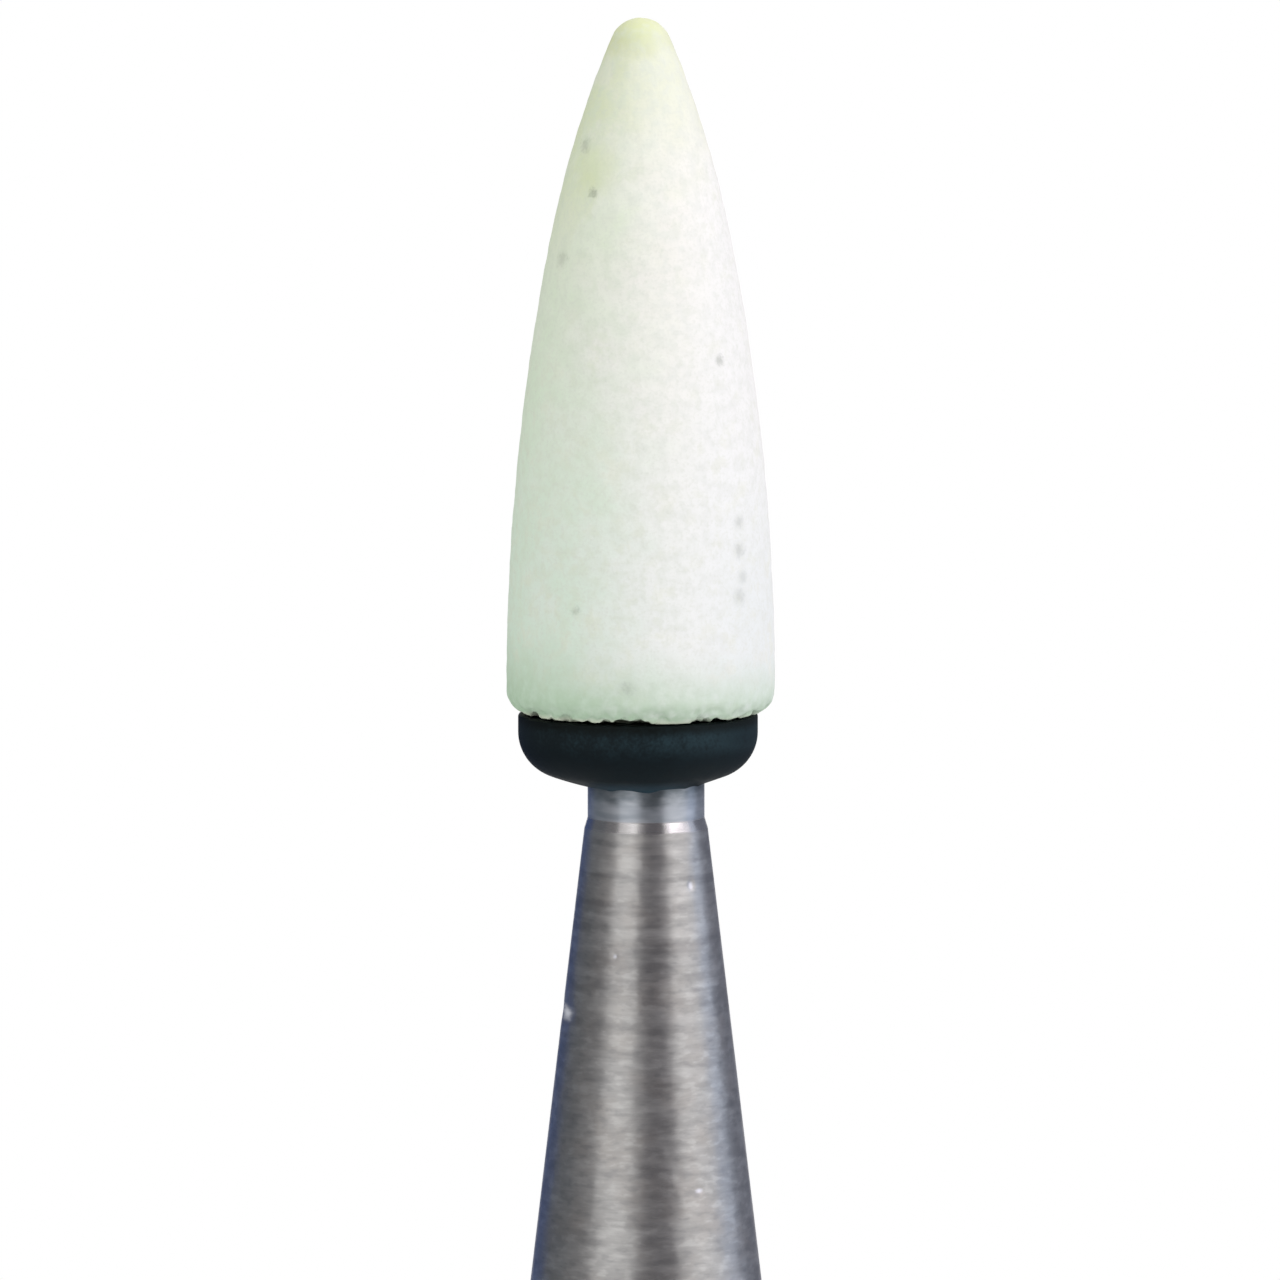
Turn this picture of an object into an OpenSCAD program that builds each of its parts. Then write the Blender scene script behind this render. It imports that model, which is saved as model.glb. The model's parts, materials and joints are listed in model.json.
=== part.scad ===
// Mounted point for a straight handpiece.
// A flame-shaped white grinding stone is cemented to a turned steel shank, and the cement
// stands out under the stone as a dark rounded bead.
// Millimetres. The origin is the centre of the shank's butt, and +Z runs along the shank to the tip.

/* [Stone] */
// Largest diameter of the stone
stone_d = 2.5; // [2:0.05:4]
// Length of the stone from its base to its tip
stone_l = 6.43; // [5:0.01:10]
// Radius of the rounded tip
nose_r = 0.3; // [0.2:0.02:0.6]
// Lean of the flank where the closer curve of the tip begins, in degrees
flank_lean = 11; // [7:0.5:12]
// Lean of the tip where it runs into the nose, in degrees
tip_lean = 22.5; // [18:0.5:35]
// Radius of the rounded edge round the base
base_edge_r = 0.22; // [0.06:0.01:0.3]

/* [Bond] */
// Step from the edge of the stone in to the side of the bead
bead_inset = 0.14; // [0.05:0.01:0.25]
// Height of the straight side of the bead
bead_side_h = 0.17; // [0.06:0.01:0.5]
// Radius of the rounded lower edge of the bead
bead_edge_r = 0.42; // [0.1:0.01:0.45]
// Slope of the underside of the bead down to the neck, in degrees
bead_slope = 20; // [5:1:35]
// Thickness of the cement round the tang, over its end and between the neck and the stone
cement_t = 0.1; // [0.09:0.01:0.2]

/* [Shank] */
// Overall length from the butt to the tip of the stone
overall_l = 44.5; // [34:0.5:65]
// Diameter of the straight shank
shank_d = 2.35; // [1.6:0.05:3.2]
// Width of the chamfer round the butt
butt_chamfer = 0.25; // [0.1:0.05:0.5]
// Length of the taper
taper_l = 5.1; // [2:0.05:8]
// Diameter of the small end of the taper
taper_d = 1.14; // [1.12:0.01:1.5]
// Height of the small bevel from the taper in to the neck
shoulder_h = 0.1; // [0.02:0.01:0.2]
// Diameter of the neck
neck_d = 1.08; // [0.92:0.01:1.12]
// Length of bare neck between the bead and the bevel
neck_l = 0.29; // [0.1:0.01:1]
// Diameter of the tang inside the stone
tang_d = 0.8; // [0.6:0.02:0.9]
// Length of the tang inside the stone
tang_l = 3.6; // [2:0.1:4]
// Width of the chamfer round the end of the tang
tang_chamfer = 0.1; // [0.05:0.01:0.2]

/* [Mounting] */
// Distance that the stone is cemented off the axis of the shank
stone_offset = 0.05; // [0:0.005:0.08]
// Distance that the bead stands off the axis of the shank, to the same side
bead_offset = 0.075; // [0:0.005:0.1]

/* [Hidden] */
$fn = 128;
edge_steps = 8;
nose_steps = 12;
tip_steps = 12;
flank_steps = 24;

stone_r = stone_d / 2;
shank_r = shank_d / 2;
taper_r = taper_d / 2;
neck_r = neck_d / 2;
tang_r = tang_d / 2;
bead_r = stone_r - bead_inset;

// The side is two tangent arcs: a long one up the flank, and a closer one from it to the nose.
// Each arc moves in and up by its radius times these shares, and both together by side_in and side_up.
flank_in = 1 - cos(flank_lean);
flank_up = sin(flank_lean);
tip_in = cos(flank_lean) - cos(tip_lean);
tip_up = sin(tip_lean) - sin(flank_lean);
side_in = stone_r - nose_r * cos(tip_lean);
side_up = stone_l - base_edge_r - nose_r * (1 - sin(tip_lean));
shares = flank_up * tip_in - flank_in * tip_up;
flank_r = (side_up * tip_in - side_in * tip_up) / shares;
tip_r = (side_in * flank_up - side_up * flank_in) / shares;
flank_centre = [stone_r - flank_r, base_edge_r];
tip_centre = flank_centre + (flank_r - tip_r) * [cos(flank_lean), sin(flank_lean)];

// The bore leaves one thickness of cement round the tang and over its end.
bore_r = tang_r + cement_t;
bore_depth = tang_l + cement_t;

// The underside of the bead starts where its rounded edge ends, and falls to the neck.
underside_r = bead_r - bead_edge_r * (1 - sin(bead_slope));
underside_h = bead_side_h + bead_edge_r * cos(bead_slope);
bead_h = underside_h + (underside_r - neck_r) * tan(bead_slope);
bead_point_h = underside_h + underside_r * tan(bead_slope);

// Heights of the stone's base and of the turned steps of the shank, from the butt.
base_z = overall_l - stone_l;
shoulder_z = base_z - bead_h - neck_l;
taper_top_z = shoulder_z - shoulder_h;
taper_base_z = taper_top_z - taper_l;
neck_end_z = base_z - cement_t;
tang_end_z = base_z + tang_l;

// Points along an arc after its first point, which the outline already has.
function arc(centre, r, from, to, steps) = [
    for (i = [1 : steps])
        let (a = from + (to - from) * i / steps)
            centre + r * [cos(a), sin(a)]
];

// Half section of the stone, with the base at zero.
function stone_outline() = concat(
    [[bore_r, 0], [stone_r - base_edge_r, 0]],
    arc([stone_r - base_edge_r, base_edge_r], base_edge_r, -90, 0, edge_steps),
    arc(flank_centre, flank_r, 0, flank_lean, flank_steps),
    arc(tip_centre, tip_r, flank_lean, tip_lean, tip_steps),
    arc([0, stone_l - nose_r], nose_r, tip_lean, 90, nose_steps),
    [[0, bore_depth], [bore_r, bore_depth]]
);

// Half section of the bead, with the stone's base at zero.
function bead_outline() = concat(
    [[0, 0], [bead_r, 0], [bead_r, -bead_side_h]],
    arc([bead_r - bead_edge_r, -bead_side_h], bead_edge_r, 0, bead_slope - 90, edge_steps),
    [[0, -bead_point_h]]
);

// Half section of the cement that fills the bore, and reaches down into the bead.
function filling_outline() = [
    [0, -bead_side_h],
    [bore_r, -bead_side_h],
    [bore_r, bore_depth],
    [0, bore_depth]
];

// Half section of the shank, from the butt to the end of the tang.
function shank_outline() = [
    [0, 0],
    [shank_r - butt_chamfer, 0],
    [shank_r, butt_chamfer],
    [shank_r, taper_base_z],
    [taper_r, taper_top_z],
    [neck_r, shoulder_z],
    [neck_r, neck_end_z],
    [tang_r, neck_end_z],
    [tang_r, tang_end_z - tang_chamfer],
    [tang_r - tang_chamfer, tang_end_z],
    [0, tang_end_z]
];

// A turned piece from its half section.
module turned(outline) {
    rotate_extrude() polygon(outline);
}

// Puts a piece drawn from the stone's base at a distance from the shank's axis.
module off_axis(distance) {
    translate([-distance, 0, base_z]) children();
}

// Vitrified white abrasive with a blind bore for the tang.
module grinding_stone() {
    color([0.89, 0.91, 0.84]) off_axis(stone_offset) turned(stone_outline());
}

// Dark cement: the bead under the stone, and the filling between the tang and the bore.
module bond_bead() {
    color([0.10, 0.12, 0.14]) difference() {
        union() {
            off_axis(bead_offset) turned(bead_outline());
            off_axis(stone_offset) turned(filling_outline());
        }
        turned(shank_outline());
    }
}

// Steel shank: straight grip, taper, bevel, neck and tang.
module shank() {
    color([0.56, 0.55, 0.55]) turned(shank_outline());
}

grinding_stone();
bond_bead();
shank();
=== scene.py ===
import json
import math
from functools import reduce

import bmesh
import bpy
import numpy as np
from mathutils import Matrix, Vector, noise


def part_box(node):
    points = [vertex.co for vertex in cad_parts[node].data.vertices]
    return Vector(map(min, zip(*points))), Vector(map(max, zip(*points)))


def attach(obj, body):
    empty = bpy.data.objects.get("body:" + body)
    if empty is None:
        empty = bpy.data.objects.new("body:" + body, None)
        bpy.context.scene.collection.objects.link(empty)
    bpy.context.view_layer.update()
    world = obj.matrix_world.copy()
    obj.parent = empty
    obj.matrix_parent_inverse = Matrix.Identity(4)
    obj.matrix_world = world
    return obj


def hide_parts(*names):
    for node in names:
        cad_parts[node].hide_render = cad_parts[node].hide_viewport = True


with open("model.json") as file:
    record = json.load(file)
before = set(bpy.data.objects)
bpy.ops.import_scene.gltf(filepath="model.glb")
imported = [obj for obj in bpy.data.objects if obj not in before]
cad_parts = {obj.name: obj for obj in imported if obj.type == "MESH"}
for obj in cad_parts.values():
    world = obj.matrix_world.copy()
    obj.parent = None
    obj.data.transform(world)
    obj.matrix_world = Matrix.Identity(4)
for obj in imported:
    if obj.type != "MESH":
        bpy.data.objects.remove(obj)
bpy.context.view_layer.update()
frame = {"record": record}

MM = 0.001
MICRON = 0.001 * MM

# The stone, the bead and the shank take their places and radii from the frame.
stone_low, stone_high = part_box("grinding_stone")
bead_low, bead_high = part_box("bond_bead")
STONE_X = (stone_low.x + stone_high.x) / 2
STONE_R = (stone_high.y - stone_low.y) / 2
STONE_BASE = stone_low.z
STONE_TIP = stone_high.z
STONE_L = STONE_TIP - STONE_BASE
BEAD_X = (bead_low.x + bead_high.x) / 2
BEAD_R = (bead_high.y - bead_low.y) / 2
SHANK_R = frame["record"]["mounts"][0]["dims"]["r_mm"] * MM

# Sizes that the frame doesn't give. Leans and slopes are in degrees.
NOSE_R = 0.3 * MM
BASE_EDGE_R = 0.22 * MM
FLANK_LEAN = 11
TIP_LEAN = 22.5
BEAD_SIDE_H = 0.17 * MM
BEAD_LIP_R = 0.03 * MM
BEAD_EDGE_R = 0.42 * MM
BEAD_SLOPE = 20
CEMENT_T = 0.1 * MM
NECK_R = 0.54 * MM
NECK_L = 0.29 * MM
SHOULDER_H = 0.1 * MM
TAPER_R = 0.57 * MM
TAPER_L = 5.1 * MM
BUTT_CHAMFER = 0.25 * MM
TANG_R = 0.4 * MM
TANG_L = 3.6 * MM
TANG_CHAMFER = 0.1 * MM
BORE_R = TANG_R + CEMENT_T
BORE_DEPTH = TANG_L + CEMENT_T

# Where the bead's underside starts, below the stone's base, and where the bead, neck and bevel end.
UNDERSIDE_FALL = math.tan(math.radians(BEAD_SLOPE))
UNDERSIDE_R = BEAD_R - BEAD_EDGE_R * (1 - math.sin(math.radians(BEAD_SLOPE)))
UNDERSIDE_H = BEAD_SIDE_H + BEAD_EDGE_R * math.cos(math.radians(BEAD_SLOPE))
BEAD_H = UNDERSIDE_H + (UNDERSIDE_R - NECK_R) * UNDERSIDE_FALL
BEAD_FOOT = STONE_BASE - BEAD_H
SHOULDER_Z = BEAD_FOOT - NECK_L
TAPER_TOP = SHOULDER_Z - SHOULDER_H

# Points round each piece, and their spacing along its outline.
STONE_TURNS = 360
BOND_TURNS = 240
SHANK_TURNS = 192
FACE_STEP = 0.03 * MM
BASE_EDGE_STEP = 0.018 * MM
BASE_STEP = 0.1 * MM
BORE_STEP = 0.3 * MM
LIP_STEP = 0.009 * MM
UNDERSIDE_STEP = 0.012 * MM
TAPER_STEP = 0.025 * MM
BEVEL_STEP = 0.01 * MM
CHAMFER_STEP = 0.05 * MM
PLAIN_STEP = 0.4 * MM

# Edges sharper than this stay crisp.
SHARP_EDGE = math.radians(40)

# Where the photograph's frame lies: its scale, the shank's axis and the stone's base in its pixels.
PHOTO_SIZE = 1280
PIXELS_PER_MM = 108.4
PIXEL = MM / PIXELS_PER_MM
SHANK_AXIS_PX = 646.1
STONE_BASE_PX = 713.0
MIDDLE_PX = PHOTO_SIZE / 2

# The camera, with its sensor's width in millimetres, and the point that it aims at.
CAMERA_ELEVATION = math.radians(6)
CAMERA_DISTANCE = 120 * MM
CAMERA_NEAR = 10 * MM
CAMERA_FAR = 10_000 * MM
SENSOR_W = 36.0
CAMERA_AIM = Vector((
    (MIDDLE_PX - SHANK_AXIS_PX) * PIXEL,
    0,
    STONE_BASE + (STONE_BASE_PX - MIDDLE_PX) * PIXEL / math.cos(CAMERA_ELEVATION),
))


def towards(azimuth, elevation):
    """Direction from the part; azimuth 0 is the camera's side and 90 its right."""
    a, e = math.radians(azimuth), math.radians(elevation)
    return Vector((math.sin(a) * math.cos(e), -math.cos(a) * math.cos(e), math.sin(e)))


class Value:
    """A number or colour inside a finish, so that shader maths is written as Python."""

    def __init__(self, finish, socket):
        self.finish = finish
        self.socket = socket

    def math(self, operation, *operands):
        return self.finish.node("ShaderNodeMath", {"operation": operation}, dict(enumerate(operands)))

    def __add__(self, other):
        return self.math("ADD", self, other)

    def __sub__(self, other):
        return self.math("SUBTRACT", self, other)

    def __rsub__(self, other):
        return self.math("SUBTRACT", other, self)

    def __mul__(self, other):
        return self.math("MULTIPLY", self, other)

    def __truediv__(self, other):
        return self.math("DIVIDE", self, other)

    __radd__ = __add__
    __rmul__ = __mul__

    def highest(self, other):
        return self.math("MAXIMUM", self, other)

    def rise(self, low, high):
        """Goes smoothly from 0 at low to 1 at high."""
        sockets = {"Value": self, "From Min": low, "From Max": high}
        return self.finish.node("ShaderNodeMapRange", {"interpolation_type": "SMOOTHSTEP"}, sockets)


class Finish:
    """The node tree of one finish."""

    def __init__(self, owner):
        owner.use_nodes = True
        self.tree = owner.node_tree
        self.tree.nodes.clear()

    def node(self, kind, settings=None, sockets=None, output=0):
        """Adds a node, sets its settings and then its sockets, and gives one of its outputs."""
        made = self.tree.nodes.new(kind)
        for name, setting in (settings or {}).items():
            setattr(made, name, setting)
        for name, content in (sockets or {}).items():
            if isinstance(content, Value):
                self.tree.links.new(content.socket, made.inputs[name])
            else:
                made.inputs[name].default_value = content
        return Value(self, made.outputs[output]) if made.outputs else None

    def place(self):
        """The point on the piece, in the part's own frame."""
        return self.node("ShaderNodeTexCoord", output="Object")

    def along(self, place, axis):
        return self.node("ShaderNodeSeparateXYZ", sockets={0: place}, output=axis)

    def stretched(self, place, factors):
        return self.node("ShaderNodeVectorMath", {"operation": "MULTIPLY"}, {0: place, 1: factors})

    def distance(self, place, point):
        return self.node("ShaderNodeVectorMath", {"operation": "DISTANCE"}, {0: place, 1: point}, "Value")

    def squashed_distance(self, place, point, squash):
        """Distance from a point, with heights counted more by the squash."""
        factors = Vector((1, 1, squash))
        return self.distance(self.stretched(place, factors), point * factors)

    def cloud(self, place, size, detail, roughness=0.5):
        """Soft noise from 0 to 1 with marks of about the given size."""
        sockets = {"Vector": place, "Scale": 1 / size, "Detail": detail, "Roughness": roughness}
        return self.node("ShaderNodeTexNoise", sockets=sockets)

    def turned_cloud(self, place, size, squeeze, detail, roughness=0.5):
        """Noise drawn out round the shank, as turning leaves it."""
        return self.cloud(self.stretched(place, (squeeze, squeeze, 1.0)), size, detail, roughness)

    def mix(self, factor, first, second):
        """Goes from the first colour to the second."""
        return self.node("ShaderNodeMix", {"data_type": "RGBA"}, {0: factor, 6: first, 7: second}, 2)

    def bump(self, height, depth):
        return self.node("ShaderNodeBump", sockets={"Height": height, "Distance": depth, "Strength": 1.0})

    def glow(self, colour):
        return self.node("ShaderNodeEmission", sockets={"Color": colour, "Strength": 1.0})

    def output(self, shader):
        self.node("ShaderNodeOutputMaterial", sockets={"Surface": shader})

    def surface(self, **sockets):
        """Ends the tree in one Principled shader."""
        named = {name.replace("_", " "): content for name, content in sockets.items()}
        self.output(self.node("ShaderNodeBsdfPrincipled", sockets=named))


def new_material(name):
    material = bpy.data.materials.new(name)
    return material, Finish(material)


def lean(degrees):
    """Direction square to the stone's side where it leans in by an angle."""
    return np.array([math.cos(math.radians(degrees)), math.sin(math.radians(degrees))])


def stone_side():
    """Centres and radii of the two tangent arcs that run from the base edge to the nose."""
    upright, flank_end, tip_end = lean(0), lean(FLANK_LEAN), lean(TIP_LEAN)
    start = np.array([STONE_R, BASE_EDGE_R])
    end = np.array([0.0, STONE_L - NOSE_R]) + NOSE_R * tip_end
    moves = np.column_stack([flank_end - upright, tip_end - flank_end])
    flank_r, tip_r = np.linalg.solve(moves, end - start)
    flank_centre = start - flank_r * upright
    tip_centre = flank_centre + (flank_r - tip_r) * flank_end
    return flank_centre, flank_r, tip_centre, tip_r


def stone_radius(height):
    """Radius of the stone's side at a height above its base, up to the nose."""
    flank_centre, flank_r, tip_centre, tip_r = stone_side()
    flank_top = flank_centre[1] + flank_r * lean(FLANK_LEAN)[1]
    centre, radius = (flank_centre, flank_r) if height < flank_top else (tip_centre, tip_r)
    climb = max(0.0, height - centre[1])
    return centre[0] + math.sqrt(radius ** 2 - climb ** 2)


# Rounds after which the point below has settled.
SETTLING_ROUNDS = 6


def on_stone_front(column, row):
    """The point of the stone's front that shows at a pixel of the photograph."""
    down, level = math.sin(CAMERA_ELEVATION), math.cos(CAMERA_ELEVATION)
    depth = near = 0.0
    for _ in range(SETTLING_ROUNDS):
        pixel = PIXEL * (1 - near / CAMERA_DISTANCE)
        x = CAMERA_AIM.x + (column - MIDDLE_PX) * pixel
        rise = ((MIDDLE_PX - row) * pixel - depth * down) / level
        z = CAMERA_AIM.z + rise
        depth = -math.sqrt(max(0.0, stone_radius(z - STONE_BASE) ** 2 - (x - STONE_X) ** 2))
        near = rise * down - depth * level
    return Vector((x, depth, z))


# Sizes of the marks in the stone's finish, and the depth of its finest bumps.
GRIT_SIZE = 0.03 * MM
GRAIN_SIZE = 0.1 * MM
MOTTLE_SIZE = 0.2 * MM
PATCH_SIZE = 0.6 * MM
GRIT_BUMP = 3.0 * MICRON

# Colours of the stone, low and high on it where there are two.
CHALK_LOW = (0.82, 0.82, 0.81, 1)
CHALK_HIGH = (0.835, 0.81, 0.77, 1)
# A green painted shade for the left side, low and high on it.
SHADED_GREEN_LOW = (0.705, 0.81, 0.70, 1)
SHADED_GREEN_HIGH = (0.715, 0.79, 0.62, 1)
# A painted light for the right side.
LIT_PALE_SIDE = (0.825, 0.815, 0.825, 1)
# A cool painted shade for the right side low down.
COOL_SHADED_SIDE = (0.745, 0.77, 0.78, 1)
CREAMY_MOTTLE = (0.81, 0.80, 0.69, 1)
CREAMY_TIP = (0.735, 0.75, 0.605, 1)
YELLOWED_SIDE = (0.68, 0.74, 0.48, 1)
YELLOWED_NOSE = (0.66, 0.68, 0.43, 1)
# Grain in the left side's painted shade.
SHADED_SIDE_GRAIN = (0.67, 0.73, 0.60, 1)
GREY_GRAIN = (0.715, 0.72, 0.70, 1)
GRIT_TONE = (0.66, 0.67, 0.61, 1)
# The green foot: partly the stone's tint, partly painted shade where the edge rounds under.
GREEN_SHADED_FOOT = (0.42, 0.57, 0.41, 1)
# A painted highlight along the stone's lowest edge.
RIM_HIGHLIGHT = (0.86, 0.84, 0.70, 1)
STAIN_TONE = (0.64, 0.70, 0.38, 1)
SPECK_TONE = (0.20, 0.22, 0.18, 1)

# Dark inclusions on the stone's front: column, row and half-width in the photograph, and depth of tone.
SPECKS = (
    (592, 193, 7, 0.6),
    (720, 360, 7, 0.42),
    (575, 611, 6, 0.38),
    (740, 522, 9, 0.27),
    (740, 550, 10, 0.3),
    (743, 577, 9, 0.23),
    (740, 597, 11, 0.25),
    (585, 144, 11, 0.32),
    (561, 259, 11, 0.28),
    (627, 689, 10, 0.25),
)

# Yellow-green stains on the stone's front, with the same values.
STAINS = (
    (593, 168, 34, 0.42),
    (638, 34, 26, 0.3),
)


def marks(finish, place, spots, ragged):
    """The tone of the deepest of some ragged spots on the stone's front."""
    tones = []
    for column, row, half_width, tone in spots:
        away = finish.distance(place, on_stone_front(column, row)) / (half_width * PIXEL)
        tones.append((1 - (away + ragged).rise(0.0, 1.2)) * tone)
    return reduce(Value.highest, tones)


def stone_tints_and_side_shading(finish, up, across, mottle, patch):
    """Chalky white: a green painted shade on the left, painted light on the right, a cool painted shade
    low on the right, and creamy to yellow at the tip.
    """
    body = finish.mix(up.rise(0.1, 0.7), CHALK_LOW, CHALK_HIGH)
    # Painted shade on the left side, in green.
    shaded_green = finish.mix(up.rise(0.1, 0.75), SHADED_GREEN_LOW, SHADED_GREEN_HIGH)
    green_shaded_side = 1 - (across + (patch - 0.5) * 1.1 + (mottle - 0.5) * 0.8).rise(-1.05, 0.25)
    body = finish.mix(green_shaded_side, body, shaded_green)
    # Painted light on the right side.
    body = finish.mix(across.rise(0.15, 0.65) * 0.7, body, LIT_PALE_SIDE)
    # Cool painted shade low on the right.
    cool_shade = across.rise(0.3, 0.85) * (1 - up.rise(0.1, 0.45))
    body = finish.mix(cool_shade * 0.7, body, COOL_SHADED_SIDE)
    body = finish.mix(mottle.rise(0.5, 0.72) * 0.4, body, CREAMY_MOTTLE)
    creamy = (up + (patch - 0.5) * 0.15 + (mottle - 0.5) * 0.12).rise(0.72, 0.96)
    body = finish.mix(creamy, body, CREAMY_TIP)
    yellowed = (patch + (mottle - 0.5) * 0.6).rise(0.44, 0.62) * up.rise(0.6, 0.8)
    yellowed = yellowed * (1 - across.rise(-0.4, 0.12))
    body = finish.mix(yellowed * 0.6, body, YELLOWED_SIDE)
    nose = (up + (patch - 0.5) * 0.07 + (mottle - 0.5) * 0.09).rise(0.925, 0.985)
    return finish.mix(nose, body, YELLOWED_NOSE)


def stone_grains(finish, body, across, grain, grit):
    """Grain that is greener on the left, in the painted shade there, with finer grit over it."""
    grain_tone_and_shade = finish.mix(across.rise(-0.5, 0.5), SHADED_SIDE_GRAIN, GREY_GRAIN)
    body = finish.mix(grain.rise(0.36, 0.72) * 0.5, body, grain_tone_and_shade)
    return finish.mix(grit.rise(0.45, 0.75) * 0.3, body, GRIT_TONE)


def stone_shaded_foot_and_rim_highlight(finish, body, up, across, mottle, grain):
    """A blotchy green foot, partly the stone's tint and partly painted shade, that ends in a pale rim
    with a painted highlight.
    """
    edge = up + (mottle - 0.5) * 0.07 + (grain - 0.5) * 0.03
    # Green tint and painted shade low on the stone, stronger on the left.
    shaded_foot = 1 - edge.rise(-0.02, 0.125 - 0.025 * across)
    blotch = (mottle - 0.5) * 0.8 + (grain - 0.5)
    body = finish.mix(shaded_foot * (0.85 - 0.09 * across + blotch), body, GREEN_SHADED_FOOT)
    # A painted highlight along the lowest edge, stronger on the left.
    rim = 1 - (up + (grain - 0.5) * 0.006).rise(0.002, 0.012)
    return finish.mix(rim * (0.45 - 0.3 * across), body, RIM_HIGHLIGHT)


def white_abrasive():
    """Fired white grit: matt and fine-grained, with yellow-green stains and dark inclusions."""
    material, finish = new_material("white_abrasive")
    place = finish.place()
    up = (finish.along(place, "Z") - STONE_BASE) / STONE_L
    across = (finish.along(place, "X") - STONE_X) / STONE_R
    grit = finish.cloud(place, GRIT_SIZE, detail=2.0)
    grain = finish.cloud(place, GRAIN_SIZE, detail=2.0)
    mottle = finish.cloud(place, MOTTLE_SIZE, detail=4.0, roughness=0.6)
    patch = finish.cloud(place, PATCH_SIZE, detail=3.0)
    body = stone_tints_and_side_shading(finish, up, across, mottle, patch)
    body = stone_grains(finish, body, across, grain, grit)
    body = stone_shaded_foot_and_rim_highlight(finish, body, up, across, mottle, grain)
    stains = marks(finish, place, STAINS, (mottle - 0.5) * 1.2)
    body = finish.mix(stains, body, STAIN_TONE)
    specks = marks(finish, place, SPECKS, (grit - 0.5) * 1.4 + (grain - 0.5) * 1.2)
    body = finish.mix(specks, body, SPECK_TONE)
    finish.surface(
        Base_Color=body,
        Roughness=0.82 + 0.15 * grit,
        Specular_IOR_Level=0.2,
        Normal=finish.bump(grit * 0.5 + grain, GRIT_BUMP),
    )
    return material


# Sizes of the marks in the cement's finish, and the depth of its bumps.
CEMENT_GRIT_SIZE = 0.03 * MM
CEMENT_MOTTLE_SIZE = 0.12 * MM
CEMENT_BUMP = 1.5 * MICRON

# Heights between which the bead changes: painted shade up its lower half, a painted shadow under the
# stone's rim, and up its thin foot.
SHADED_LOWER_HALF = (STONE_BASE - 0.36 * MM, STONE_BASE - 0.14 * MM)
SHADOW_UNDER_RIM = (STONE_BASE - 0.13 * MM, STONE_BASE - 0.03 * MM)
THIN_FOOT = (BEAD_FOOT + 0.01 * MM, BEAD_FOOT + 0.13 * MM)

# Colours of the cement.
CEMENT_DARK = (0.007, 0.012, 0.015, 1)
# The paler cement is partly mottle and partly a painted sheen on the right.
CEMENT_MOTTLE_AND_SHEEN = (0.017, 0.034, 0.043, 1)
# A painted shade for the bead's lower half and right edge.
CEMENT_SHADE = (0.003, 0.007, 0.010, 1)
CEMENT_THIN = (0.03, 0.055, 0.075, 1)
# A painted shadow under the stone's rim.
RIM_SHADOW_BLACK = (0.003, 0.004, 0.003, 1)


def dark_bond():
    """Dark cement: satin and faintly mottled, with a painted sheen to the right, painted shade on its
    lower half and right edge, darkest in a painted shadow under the stone, and paler where it thins out.
    """
    material, finish = new_material("dark_bond")
    place = finish.place()
    height = finish.along(place, "Z")
    across = (finish.along(place, "X") - BEAD_X) / BEAD_R
    grit = finish.cloud(place, CEMENT_GRIT_SIZE, detail=2.0)
    mottle = finish.cloud(place, CEMENT_MOTTLE_SIZE, detail=3.0)
    # Mottle, with a painted sheen that grows to the right.
    light = (across * 0.35 + (mottle - 0.5) * 0.9 + (grit - 0.5) * 0.6).rise(-0.35, 0.45)
    colour = finish.mix(light, CEMENT_DARK, CEMENT_MOTTLE_AND_SHEEN)
    # Painted shade on the lower half and towards the right edge.
    painted_shade = (1 - height.rise(*SHADED_LOWER_HALF)).highest(across.rise(0.5, 0.95) * 0.6)
    colour = finish.mix(painted_shade * 0.85, colour, CEMENT_SHADE)
    thin = (1 - height.rise(*THIN_FOOT)) * (1 - (across * across).rise(0.05, 0.25))
    colour = finish.mix(thin * 0.8, colour, CEMENT_THIN)
    # A painted shadow under the stone's rim.
    colour = finish.mix(height.rise(*SHADOW_UNDER_RIM) * 0.75, colour, RIM_SHADOW_BLACK)
    finish.surface(
        Base_Color=colour,
        Roughness=0.5 + 0.2 * mottle,
        Specular_IOR_Level=0.08,
        Normal=finish.bump(grit * 0.4 + mottle, CEMENT_BUMP),
    )
    return material


# Sizes of the marks in the steel's finish, and the depth of its bumps.
LINE_SIZE = 0.03 * MM
BAND_SIZE = 0.11 * MM
PIT_SIZE = 0.065 * MM
GROOVE_SIZE = 0.085 * MM
TARNISH_SIZE = 0.35 * MM
WAVE_SIZE = 0.22 * MM
STEEL_BUMP = MICRON

# Where the grooves come in up the taper, and where the bevel and the neck start.
GROOVED = (TAPER_TOP - 2.4 * MM, TAPER_TOP - 0.2 * MM)
BEVEL_START = (TAPER_TOP - 0.01 * MM, TAPER_TOP + 0.01 * MM)
NECK_START = (SHOULDER_Z - 0.01 * MM, SHOULDER_Z + 0.01 * MM)

# Colours of the steel and of what is on it.
STEEL_DARK = (0.41, 0.40, 0.395, 1)
STEEL_LIGHT = (0.53, 0.52, 0.51, 1)
LINE_TONE = (0.36, 0.35, 0.345, 1)
TARNISH_TONE = (0.48, 0.44, 0.41, 1)
BRIGHT_PIT_TONE = (0.64, 0.63, 0.615, 1)
DARK_PIT_TONE = (0.29, 0.285, 0.29, 1)
CREST_TONE = (0.66, 0.64, 0.62, 1)
GROOVE_TONE = (0.27, 0.26, 0.265, 1)
NECK_DARK = (0.36, 0.40, 0.46, 1)
NECK_LIGHT = (0.52, 0.55, 0.61, 1)
BEVEL_TONE = (0.55, 0.53, 0.53, 1)
# Cement on the neck, with the dark bead's reflection painted under it.
SMEAR_AND_REFLECTION_TONE = (0.045, 0.065, 0.075, 1)
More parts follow.
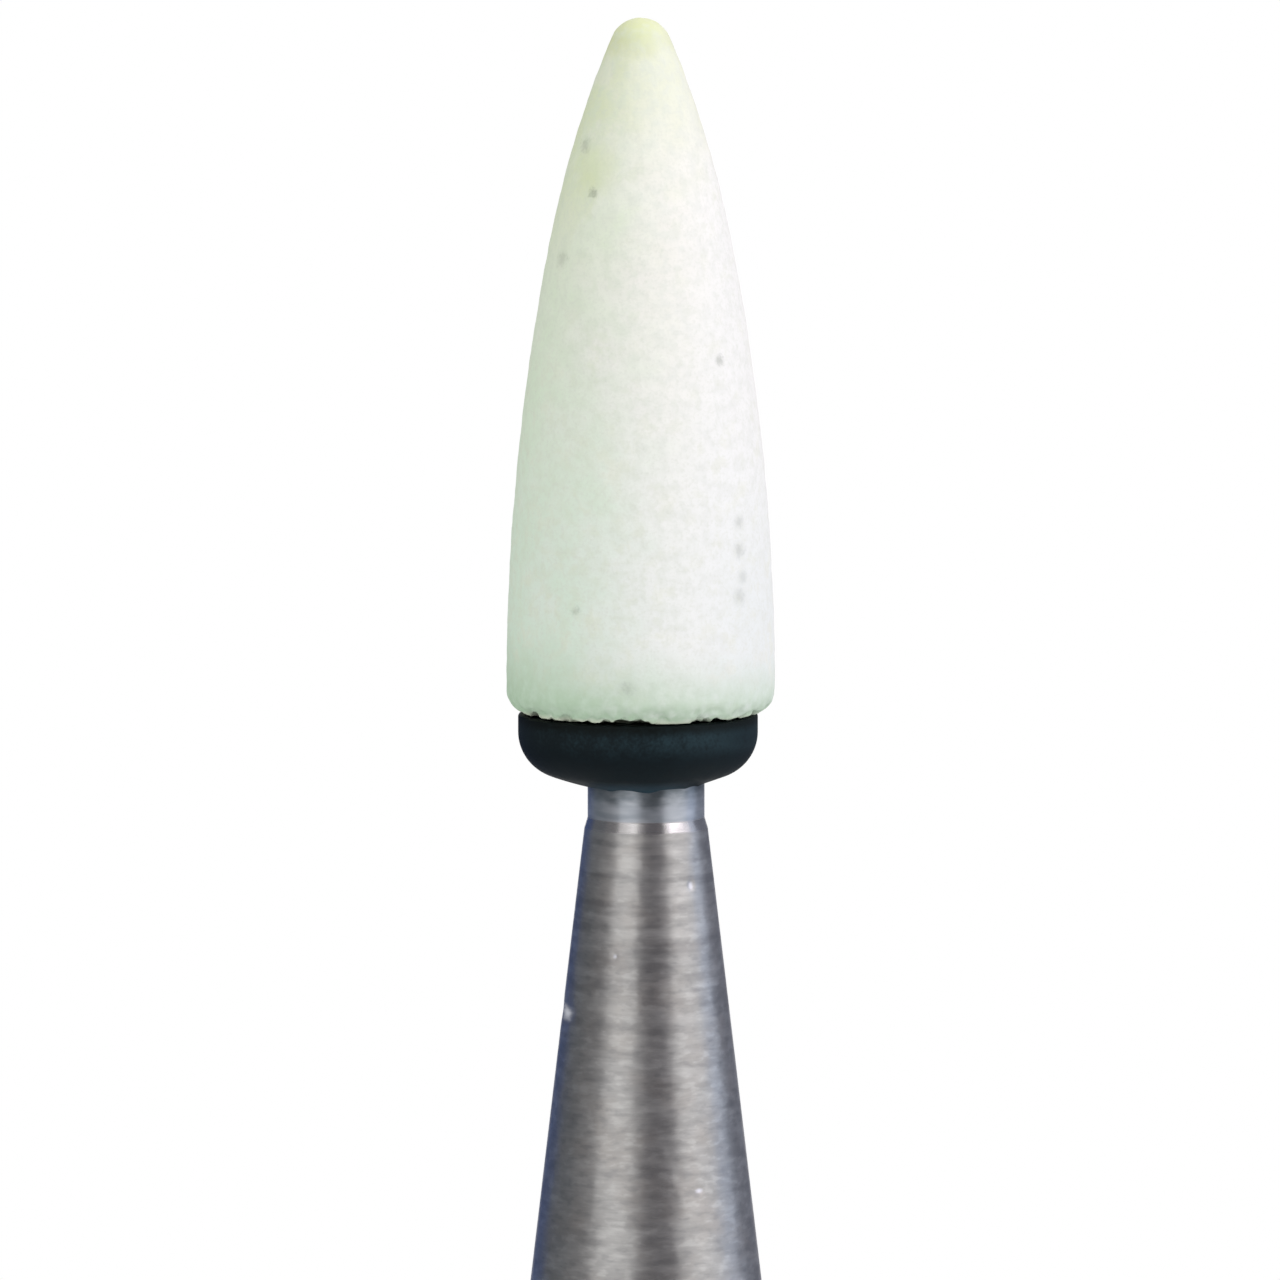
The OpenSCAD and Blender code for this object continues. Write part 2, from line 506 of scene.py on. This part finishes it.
# Bare metal in the dents, with painted glints.
TORN_AND_GLINT_TONE = (0.82, 0.82, 0.90, 1)

# Dents in the taper: azimuth in degrees, distance below its top, half-width, half-height and depth.
DENTS = (
    (-75, 1.70 * MM, 0.20 * MM, 0.08 * MM, 0.022 * MM),
    (41, 0.484 * MM, 0.03 * MM, 0.035 * MM, 0.01 * MM),
    (31, 3.27 * MM, 0.045 * MM, 0.025 * MM, 0.008 * MM),
    (-24, 1.12 * MM, 0.025 * MM, 0.025 * MM, 0.008 * MM),
)

# Smears of cement on the neck: azimuth in degrees, half-width and depth of tone.
SMEARS = (
    (-35, 0.07 * MM, 0.35),
    (6, 0.13 * MM, 0.5),
)

# How far the smears lie below the bead, how much wider than high they are, and how far down the
# bead's thin edge, with its painted reflection of the bead, runs.
SMEAR_BELOW = 0.1 * MM
SMEAR_SQUASH = 2.0
FILM_AND_REFLECTION_REACH = 0.15 * MM


def dent_centre(azimuth, below):
    """The point of the taper's face at an azimuth and a distance below its top."""
    radius = TAPER_R + (SHANK_R - TAPER_R) * below / TAPER_L
    return towards(azimuth, 0) * radius + Vector((0, 0, TAPER_TOP - below))


def steel_tints(finish, lines, bands, pits, tarnish):
    """Grey steel with soft bands and lines, brownish tarnish, and bright and dark pits."""
    colour = finish.mix(bands.rise(0.3, 0.7), STEEL_DARK, STEEL_LIGHT)
    colour = finish.mix(lines.rise(0.3, 0.7) * 0.35, colour, LINE_TONE)
    colour = finish.mix(tarnish.rise(0.4, 0.7) * 0.4, colour, TARNISH_TONE)
    colour = finish.mix(pits.rise(0.5, 0.7) * 0.5, colour, BRIGHT_PIT_TONE)
    return finish.mix((1 - pits.rise(0.3, 0.48)) * 0.45, colour, DARK_PIT_TONE)


def groove_tints(finish, colour, place, height):
    """Tool marks that grow clearer up the taper: bright crests and dark grooves."""
    grooves = finish.turned_cloud(place, GROOVE_SIZE, squeeze=0.05, detail=1.0)
    grooved = height.rise(*GROOVED)
    colour = finish.mix(grooves.rise(0.5, 0.66) * grooved * 0.3, colour, CREST_TONE)
    return finish.mix((1 - grooves.rise(0.34, 0.5)) * grooved * 0.5, colour, GROOVE_TONE)


def neck_tints(finish, colour, bands, bevel, neck):
    """A bright bevel and a blue-grey neck."""
    blued = finish.mix(bands.rise(0.35, 0.65), NECK_DARK, NECK_LIGHT)
    colour = finish.mix(neck * 0.8, colour, blued)
    return finish.mix(bevel * 0.6, colour, BEVEL_TONE)


def cement_and_bead_reflection(finish, place, height, ragged):
    """Cement on the neck: a thin ragged edge all round under the bead, partly cement film and partly a
    painted reflection of the dark bead, and a few smears.
    """
    edge = (BEAD_FOOT - height) / FILM_AND_REFLECTION_REACH
    smear_and_reflection = (1 - (edge + ragged * 0.8).rise(-0.4, 1.1)) * 0.75
    for azimuth, half_width, tone in SMEARS:
        spot = towards(azimuth, 0) * NECK_R + Vector((0, 0, BEAD_FOOT - SMEAR_BELOW))
        away = finish.squashed_distance(place, spot, SMEAR_SQUASH) / half_width
        smear_and_reflection = smear_and_reflection + (1 - (away + ragged * 0.7).rise(0.0, 1.4)) * tone * (1 - smear_and_reflection)
    return smear_and_reflection


def torn_metal_and_glints(finish, place, pits, lines):
    """1 in the ragged middle of each dent, where bare metal shows with a painted glint."""
    tears_and_glints = []
    for azimuth, below, half_width, half_height, _ in DENTS:
        spot = dent_centre(azimuth, below)
        away = finish.squashed_distance(place, spot, half_width / half_height) / half_width
        tears_and_glints.append(1 - (away + (pits - 0.5) + (lines - 0.5) * 0.6).rise(0.0, 1.3))
    return reduce(Value.highest, tears_and_glints)


def turned_steel():
    """Turned steel: soft broken lines and pits, bright dents with painted glints, and a neck smeared with
    cement and a painted reflection of the bead.
    """
    material, finish = new_material("turned_steel")
    place = finish.place()
    height = finish.along(place, "Z")
    lines = finish.turned_cloud(place, LINE_SIZE, squeeze=0.1, detail=2.0, roughness=0.6)
    bands = finish.turned_cloud(place, BAND_SIZE, squeeze=0.25, detail=2.0)
    pits = finish.turned_cloud(place, PIT_SIZE, squeeze=0.4, detail=3.0)
    tarnish = finish.cloud(place, TARNISH_SIZE, detail=3.0)
    wave = finish.cloud(place, WAVE_SIZE, detail=1.0)
    neck = height.rise(*NECK_START)
    bevel = height.rise(*BEVEL_START) - neck
    colour = steel_tints(finish, lines, bands, pits, tarnish)
    colour = groove_tints(finish, colour, place, height)
    colour = neck_tints(finish, colour, bands, bevel, neck)
    ragged = (tarnish - 0.5) * 1.4 + (pits - 0.5) * 1.2
    # Cement and the bead's painted reflection on the neck.
    colour = finish.mix(cement_and_bead_reflection(finish, place, height, ragged), colour, SMEAR_AND_REFLECTION_TONE)
    # Painted glints on bare metal in the dents.
    torn_and_glint = torn_metal_and_glints(finish, place, pits, lines)
    colour = finish.mix(torn_and_glint * 0.8, colour, TORN_AND_GLINT_TONE)
    finish.surface(
        Base_Color=colour,
        Metallic=1 - 0.6 * torn_and_glint - 0.2 * neck,
        Roughness=0.24 + 0.1 * lines + 0.1 * bands - 0.1 * bevel + 0.3 * torn_and_glint,
        Normal=finish.bump(lines * 0.3 + bands * 0.5 + pits * 0.4 + wave * 7, STEEL_BUMP),
    )
    return material


def straight(start, end, step):
    """Points of a straight line after its first one."""
    count = max(1, math.ceil(math.dist(start, end) / step))
    return [tuple(np.add(start, np.subtract(end, start) * i / count)) for i in range(1, count + 1)]


def arc(centre, radius, start, end, step):
    """Points of an arc after its first one, with its angles in degrees."""
    sweep = math.radians(end - start)
    count = max(2, math.ceil(abs(sweep) * radius / step))
    turns = [math.radians(start) + sweep * i / count for i in range(1, count + 1)]
    return [(centre[0] + radius * math.cos(a), centre[1] + radius * math.sin(a)) for a in turns]


def rings(outline, turns, axis_x):
    """Turns an outline of radius and height into rings of points round an upright axis."""
    angles = np.arange(turns) * (2 * math.pi / turns)
    radius, height = np.array(outline).T
    points = np.empty((len(outline), turns, 3))
    points[..., 0] = axis_x + radius[:, None] * np.cos(angles)
    points[..., 1] = radius[:, None] * np.sin(angles)
    points[..., 2] = height[:, None]
    return points


def ring_faces(count, turns):
    """Faces that join rings of corners, and close them at two end points that come after the rings."""
    first, last = count * turns, count * turns + 1
    top = (count - 1) * turns
    faces = []
    for i in range(turns):
        j = (i + 1) % turns
        faces.append((first, j, i))
        for low in range(0, top, turns):
            faces.append((low + i, low + j, low + turns + j, low + turns + i))
        faces.append((last, top + i, top + j))
    return faces


def skin(name, points, material):
    """Closes rings of points, which start and end on the axis, into one smooth piece."""
    inner = points[1:-1]
    corners = [tuple(p) for p in inner.reshape(-1, 3)] + [tuple(points[0, 0]), tuple(points[-1, 0])]
    mesh = bpy.data.meshes.new(name)
    mesh.from_pydata(corners, [], ring_faces(len(inner), points.shape[1]))
    shape = bmesh.new()
    shape.from_mesh(mesh)
    bmesh.ops.recalc_face_normals(shape, faces=shape.faces)
    shape.to_mesh(mesh)
    shape.free()
    mesh.shade_smooth()
    mesh.set_sharp_from_angle(angle=SHARP_EDGE)
    mesh.materials.append(material)
    piece = bpy.data.objects.new(name, mesh)
    bpy.context.scene.collection.objects.link(piece)
    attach(piece, "root")
    return piece


def outward(outline):
    """Directions square to an outline that runs from the axis inside to the axis at the tip."""
    way = np.gradient(np.array(outline), axis=0)
    square = np.column_stack([way[:, 1], -way[:, 0]])
    return square / np.linalg.norm(square, axis=1, keepdims=True)


def grain_at(point, size):
    """Noise from -1 to 1 with bumps of about the given size."""
    return noise.noise(Vector(point) / size)


# Bumps of the stone's face: depth and size.
FACE_BUMPS = (
    (2.5 * MICRON, 0.06 * MM),
    (4.0 * MICRON, 0.16 * MM),
    (2.5 * MICRON, 0.5 * MM),
)

# Bites along the stone's lower edge: share and size of the noises that place them.
BITE_NOISES = (
    (1.0, 0.14 * MM),
    (0.4, 0.06 * MM),
    (0.3, 0.5 * MM),
)

# Depth of the bites, how far up they reach, and how steep and how frequent they are.
BITE_DEPTH = 62 * MICRON
BITE_REACH = 0.11 * MM
BITE_STEEPNESS = 1.5
BITE_FREQUENCY = 0.3


def stone_outline():
    """The stone's half section from the end of its bore to its tip, and its number of hidden rings."""
    corner = (STONE_R - BASE_EDGE_R, 0.0)
    flank_centre, flank_r, tip_centre, tip_r = stone_side()
    outline = [(0.0, BORE_DEPTH)]
    outline += straight(outline[-1], (BORE_R, BORE_DEPTH), BORE_STEP)
    outline += straight(outline[-1], (BORE_R, 0.0), BORE_STEP)
    outline += straight(outline[-1], corner, BASE_STEP)
    hidden = len(outline) - 2
    outline += arc((corner[0], BASE_EDGE_R), BASE_EDGE_R, -90, 0, BASE_EDGE_STEP)
    outline += arc(flank_centre, flank_r, 0, FLANK_LEAN, FACE_STEP)
    outline += arc(tip_centre, tip_r, FLANK_LEAN, TIP_LEAN, FACE_STEP)
    outline += arc((0.0, STONE_L - NOSE_R), NOSE_R, TIP_LEAN, 90, FACE_STEP)
    outline[-1] = (0.0, STONE_L)
    return outline, hidden


def wear(point):
    """How deep the grained face and its bitten edge lie at a point, which is measured from the base."""
    depth = sum(deep * (1 + grain_at(point, size)) for deep, size in FACE_BUMPS)
    crumb = sum(share * grain_at(point, size) for share, size in BITE_NOISES)
    bite = min(1.0, max(0.0, crumb * BITE_STEEPNESS + BITE_FREQUENCY))
    return depth + BITE_DEPTH * bite * math.exp(-(point[2] / BITE_REACH) ** 2)


def make_stone():
    """The flame: grains over its whole face, and a crumbled lower edge."""
    outline, hidden = stone_outline()
    points = rings(outline, STONE_TURNS, STONE_X)
    square = rings(outward(outline), STONE_TURNS, 0.0)
    for ring in range(hidden, len(outline)):
        for turn in range(STONE_TURNS):
            points[ring, turn] -= square[ring, turn] * wear(points[ring, turn])
    points[..., 2] += STONE_BASE
    stone = skin("grinding_stone_grained", points, white_abrasive())
    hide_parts("grinding_stone")


# The bead's foot: depth and length of its waves, how much flatter it is on the left, and how closely
# both keep to the neck, as powers.
FOOT_WAVE_H = 0.03 * MM
FOOT_WAVE_L = 0.16 * MM
FOOT_FLATTER = 0.025 * MM
WAVE_CLOSENESS = 20
FLATTER_CLOSENESS = 2


def bead_side():
    """The bead's half section from its lip to its underside."""
    side = [(BEAD_R - BEAD_LIP_R, 0.0)]
    side += arc((BEAD_R - BEAD_LIP_R, -BEAD_LIP_R), BEAD_LIP_R, 90, 0, LIP_STEP)
    side += straight(side[-1], (BEAD_R, -BEAD_SIDE_H), FACE_STEP)
    side += arc((BEAD_R - BEAD_EDGE_R, -BEAD_SIDE_H), BEAD_EDGE_R, 0, BEAD_SLOPE - 90, FACE_STEP)
    return side


def bead_underside(rim):
    """Rings from the rim of the bead's underside to its wavy foot round the neck."""
    neck = rings([(NECK_R, 0.0)], BOND_TURNS, 0.0)[0]
    reach = np.hypot(neck[:, 0] - BEAD_X, neck[:, 1])
    neck[:, 2] = -UNDERSIDE_H - (UNDERSIDE_R - reach) * UNDERSIDE_FALL
    count = math.ceil((UNDERSIDE_R - NECK_R) / UNDERSIDE_STEP)
    share = np.arange(1, count + 1)[:, None] / count
    underside = rim + (neck - rim) * share[..., None]
    wave = np.array([FOOT_WAVE_H * grain_at(point, FOOT_WAVE_L) for point in neck])
    flatter = FOOT_FLATTER * np.clip(-neck[:, 0] / NECK_R, 0, 1)
    underside[..., 2] -= wave * share ** WAVE_CLOSENESS
    underside[..., 2] += flatter * share ** FLATTER_CLOSENESS
    return underside


def make_bond():
    """The bead on its own axis, with its filling in the stone's bore and its hole round the shank."""
    filling = [(0.0, BORE_DEPTH)]
    filling += straight(filling[-1], (BORE_R, BORE_DEPTH), BORE_STEP)
    filling += straight(filling[-1], (BORE_R, 0.0), BORE_STEP)
    hole = [(NECK_R, -CEMENT_T), (TANG_R, -CEMENT_T), (TANG_R, TANG_L - TANG_CHAMFER)]
    hole += [(TANG_R - TANG_CHAMFER, TANG_L), (0.0, TANG_L)]
    inside = rings(filling, BOND_TURNS, STONE_X)
    outside = rings(bead_side(), BOND_TURNS, BEAD_X)
    underside = bead_underside(outside[-1])
    points = np.concatenate([inside, outside, underside, rings(hole, BOND_TURNS, 0.0)])
    points[..., 2] += STONE_BASE
    bond = skin("bond_bead_cast", points, dark_bond())
    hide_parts("bond_bead")


def shank_outline():
    """The shank's half section, from the butt to the end of the tang."""
    neck_end = STONE_BASE - CEMENT_T
    tang_end = STONE_BASE + TANG_L
    outline = [(0.0, 0.0)]
    outline += straight(outline[-1], (SHANK_R - BUTT_CHAMFER, 0.0), PLAIN_STEP)
    outline += straight(outline[-1], (SHANK_R, BUTT_CHAMFER), CHAMFER_STEP)
    outline += straight(outline[-1], (SHANK_R, TAPER_TOP - TAPER_L), PLAIN_STEP)
    outline += straight(outline[-1], (TAPER_R, TAPER_TOP), TAPER_STEP)
    outline += straight(outline[-1], (NECK_R, SHOULDER_Z), BEVEL_STEP)
    outline += straight(outline[-1], (NECK_R, neck_end), TAPER_STEP)
    outline += straight(outline[-1], (TANG_R, neck_end), PLAIN_STEP)
    outline += straight(outline[-1], (TANG_R, tang_end - TANG_CHAMFER), PLAIN_STEP)
    outline += straight(outline[-1], (TANG_R - TANG_CHAMFER, tang_end), PLAIN_STEP)
    outline += [(0.0, tang_end)]
    return outline


def make_shank():
    """The turned shank with the dents of its taper."""
    points = rings(shank_outline(), SHANK_TURNS, 0.0)
    for azimuth, below, half_width, half_height, depth in DENTS:
        way = np.array(towards(azimuth, 0))
        reach = (points - np.array(dent_centre(azimuth, below))) / (half_width, half_width, half_height)
        points -= np.exp(-np.sum(reach ** 2, axis=2))[..., None] * way * depth
    shank = skin("shank_turned", points, turned_steel())
    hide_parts("shank")


# What the lamps face, and how far off they stand.
HEAD = Vector((0, 0, STONE_BASE))
SOFTBOX_DISTANCE = 180 * MM

# Soft lamps: azimuth and elevation in degrees, width, height, radiance and tint.
SOFTBOXES = {
    "right_softbox": (70, 40, 130 * MM, 120 * MM, 3.5, (0.97, 0.91, 1.0)),
    "left_softbox": (-28, 46, 70 * MM, 95 * MM, 2.95, (1, 1, 1)),
    "top_softbox": (20, 78, 120 * MM, 120 * MM, 1.3, (1, 1, 1)),
}

# Radius, height and facets of the curved cards that stand round the part.
CARD_R = 45 * MM
CARD_H = 75 * MM
CARD_FACETS = 24

# Cards that only reflections see: the azimuths of their two ends in degrees, and their colour.
CARDS = {
    "camera_flag": (-13, 36, (0.14, 0.135, 0.15, 1)),
    "left_grey_card": (-88, -56, (0.25, 0.25, 0.26, 1)),
    "left_flag": (-125, -88, (0.18, 0.195, 0.215, 1)),
    "left_navy_card": (-165, -125, (0.08, 0.115, 0.24, 1)),
    "right_blue_card": (85, 110, (0.70, 0.79, 0.97, 1)),
    "right_flag": (110, 165, (0.20, 0.215, 0.27, 1)),
}

# The floor's size, where it runs out into white, and the colours of the surroundings.
FLOOR_R = 400 * MM
FLOOR_SIDES = 96
FLOOR_FADE = (30 * MM, 160 * MM)
FLOOR_TONE = (0.86, 0.86, 0.86, 1)
EVEN_LIGHT = (0.60, 0.63, 0.60, 1)
WHITE = (1, 1, 1, 1)


def make_softbox(name, azimuth, elevation, width, height, radiance, tint):
    """A soft lamp that faces the head, as bright as a surface of the given radiance."""
    lamp = bpy.data.lights.new(name, "AREA")
    lamp.shape = "RECTANGLE"
    lamp.size, lamp.size_y = width, height
    lamp.energy = radiance * math.pi * width * height
    lamp.color = tint
    box = bpy.data.objects.new(name, lamp)
    box.location = HEAD + towards(azimuth, elevation) * SOFTBOX_DISTANCE
    box.rotation_euler = (HEAD - box.location).to_track_quat("-Z", "Y").to_euler()
    box.visible_camera = False
    bpy.context.scene.collection.objects.link(box)


def make_card(name, start, end, colour):
    """A curved upright card that only reflections see, between two azimuths."""
    corners = []
    for i in range(CARD_FACETS + 1):
        way = towards(start + (end - start) * i / CARD_FACETS, 0) * CARD_R
        corners += [(way.x, way.y, 0.0), (way.x, way.y, CARD_H)]
    faces = [(2 * i, 2 * i + 2, 2 * i + 3, 2 * i + 1) for i in range(CARD_FACETS)]
    mesh = bpy.data.meshes.new(name)
    mesh.from_pydata(corners, [], faces)
    material, finish = new_material(name)
    finish.output(finish.glow(colour))
    mesh.materials.append(material)
    card = bpy.data.objects.new(name, mesh)
    card.visible_camera = False
    card.visible_diffuse = False
    card.visible_shadow = False
    card.visible_transmission = False
    bpy.context.scene.collection.objects.link(card)


def seen_directly(finish):
    """1 for what the camera sees, straight or in gloss or glass."""
    straight_on = finish.node("ShaderNodeLightPath", output="Is Camera Ray")
    in_gloss = finish.node("ShaderNodeLightPath", output="Is Glossy Ray")
    in_glass = finish.node("ShaderNodeLightPath", output="Is Transmission Ray")
    return straight_on.highest(in_gloss).highest(in_glass)


def make_floor():
    """A plain pale floor that runs out into the white backdrop and keeps the shadow near the part."""
    shape = bmesh.new()
    bmesh.ops.create_circle(shape, cap_ends=True, segments=FLOOR_SIDES, radius=FLOOR_R)
    mesh = bpy.data.meshes.new("floor")
    shape.to_mesh(mesh)
    shape.free()
    material, finish = new_material("pale_floor")
    out = finish.distance(finish.place(), (0, 0, 0)).rise(*FLOOR_FADE)
    pale = finish.node("ShaderNodeBsdfDiffuse", sockets={"Color": FLOOR_TONE})
    fade = {0: out * seen_directly(finish), 1: pale, 2: finish.glow(WHITE)}
    finish.output(finish.node("ShaderNodeMixShader", sockets=fade))
    mesh.materials.append(material)
    floor = bpy.data.objects.new("floor", mesh)
    bpy.context.scene.collection.objects.link(floor)


def make_world():
    """White where it is seen, and a softer even light on the part."""
    world = bpy.data.worlds.new("white_surround")
    bpy.context.scene.world = world
    finish = Finish(world)
    light = finish.node("ShaderNodeBackground", sockets={"Color": EVEN_LIGHT})
    white = finish.node("ShaderNodeBackground", sockets={"Color": WHITE})
    both = finish.node("ShaderNodeMixShader", sockets={0: seen_directly(finish), 1: light, 2: white})
    finish.node("ShaderNodeOutputWorld", sockets={"Surface": both})


def make_lights():
    for name, softbox in SOFTBOXES.items():
        make_softbox(name, *softbox)
    for name, card in CARDS.items():
        make_card(name, *card)


def make_camera():
    """The photograph's view: a long lens from a little above the head."""
    camera = bpy.data.cameras.new("camera")
    camera.sensor_width = SENSOR_W
    camera.lens = SENSOR_W * CAMERA_DISTANCE / (PHOTO_SIZE * PIXEL)
    camera.clip_start, camera.clip_end = CAMERA_NEAR, CAMERA_FAR
    eye = bpy.data.objects.new("camera", camera)
    back = Vector((0, -math.cos(CAMERA_ELEVATION), math.sin(CAMERA_ELEVATION)))
    eye.location = CAMERA_AIM + back * CAMERA_DISTANCE
    eye.rotation_euler = (-back).to_track_quat("-Z", "Y").to_euler()
    bpy.context.scene.collection.objects.link(eye)
    bpy.context.scene.camera = eye


make_camera()
make_stone()
make_bond()
make_shank()
make_floor()
make_world()
make_lights()
bpy.context.scene.view_settings.view_transform = "Standard"
